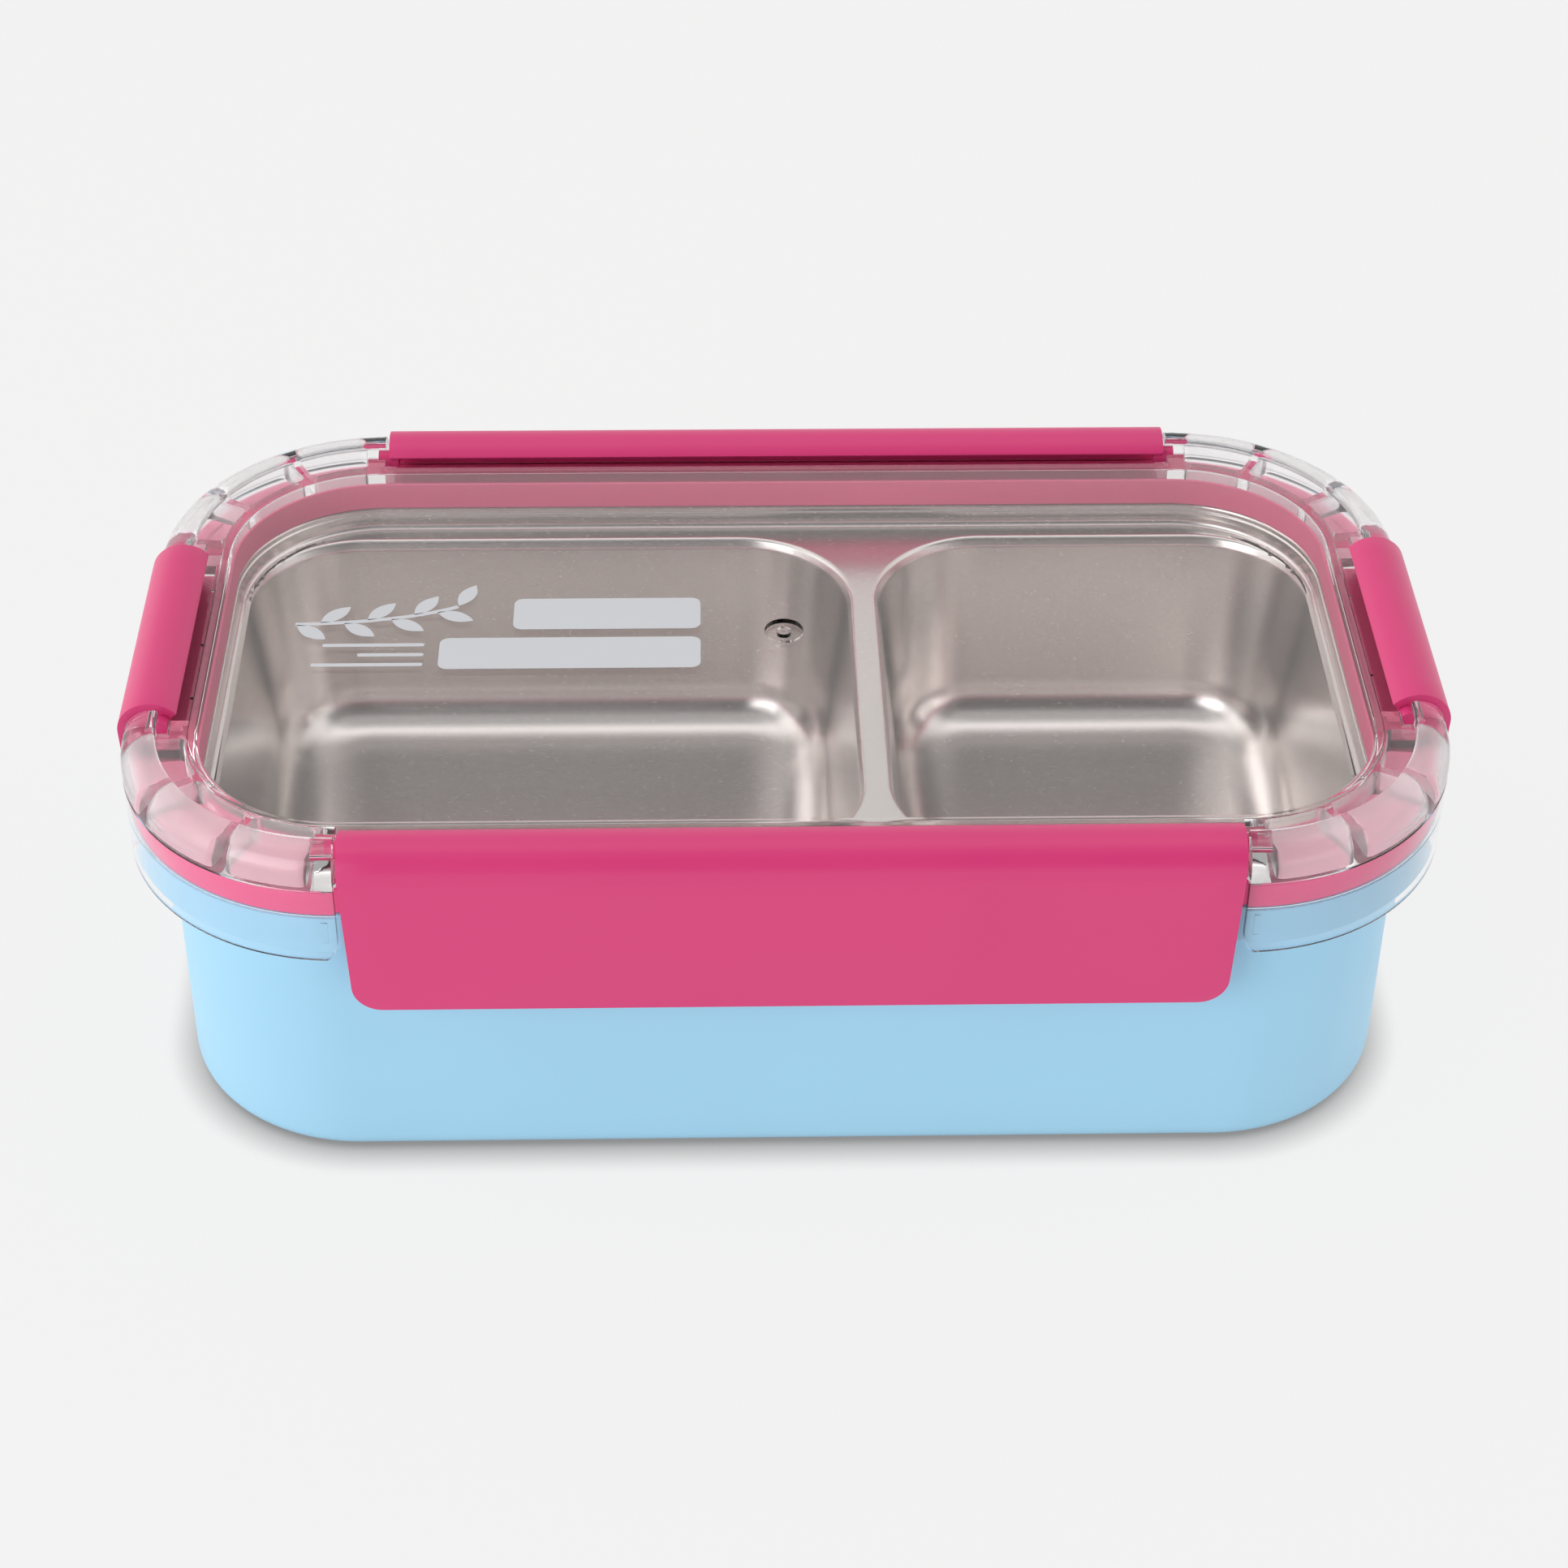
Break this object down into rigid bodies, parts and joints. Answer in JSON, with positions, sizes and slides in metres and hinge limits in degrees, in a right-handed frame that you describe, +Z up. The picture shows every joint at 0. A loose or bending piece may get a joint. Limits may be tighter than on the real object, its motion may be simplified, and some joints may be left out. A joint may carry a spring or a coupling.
{
  "type": "bento lunch box",
  "caption": "Rounded rectangular lunch box: plastic case, divided steel tray in a plastic frame, clear sealing lid held by flip-down side latches.",
  "frame": {"origin": "middle of the underside of the outer case, on the surface the box stands on", "axes": "+X along the long side to the right, -Y to the front, +Z up"},
  "size_m": [0.2174, 0.1274, 0.0683],
  "materials": {
    "case_plastic": "satin light blue polypropylene",
    "frame_plastic": "satin pink polypropylene",
    "tray_steel": "fine satin stamped stainless steel",
    "lid_clear": "clear glossy moulded plastic",
    "seal_silicone": "soft pink silicone",
    "latch_plastic": "semi-gloss pink polypropylene"
  },
  "bodies": {
    "case": {"outer_case": "case_plastic"},
    "tray": {"tray_frame": "frame_plastic", "steel_tray": "tray_steel"},
    "lid": {"lid": "lid_clear", "lid_seal": "seal_silicone"},
    "front_latch": {"latch_front": "latch_plastic"},
    "right_latch": {"latch_right": "latch_plastic"},
    "back_latch": {"latch_back": "latch_plastic"},
    "left_latch": {"latch_left": "latch_plastic"}
  },
  "joints": [
    {"name": "tray_lift", "type": "slide", "parent": "case", "child": "tray", "axis": [0, 0, 1], "range_m": [0, 0.06]},
    {"name": "lid_lift", "type": "slide", "parent": "tray", "child": "lid", "axis": [0, 0, 1], "range_m": [0, 0.05]},
    {"name": "front_latch_hinge", "type": "hinge", "parent": "lid", "child": "front_latch", "pos_m": [0, -0.0564, 0.0646], "axis": [-1, 0, 0], "range_deg": [0, 105]},
    {"name": "right_latch_hinge", "type": "hinge", "parent": "lid", "child": "right_latch", "pos_m": [0.1014, 0, 0.0646], "axis": [0, -1, 0], "range_deg": [0, 105]},
    {"name": "back_latch_hinge", "type": "hinge", "parent": "lid", "child": "back_latch", "pos_m": [0, 0.0564, 0.0646], "axis": [1, 0, 0], "range_deg": [0, 105]},
    {"name": "left_latch_hinge", "type": "hinge", "parent": "lid", "child": "left_latch", "pos_m": [-0.1014, 0, 0.0646], "axis": [0, 1, 0], "range_deg": [0, 105]}
  ]
}
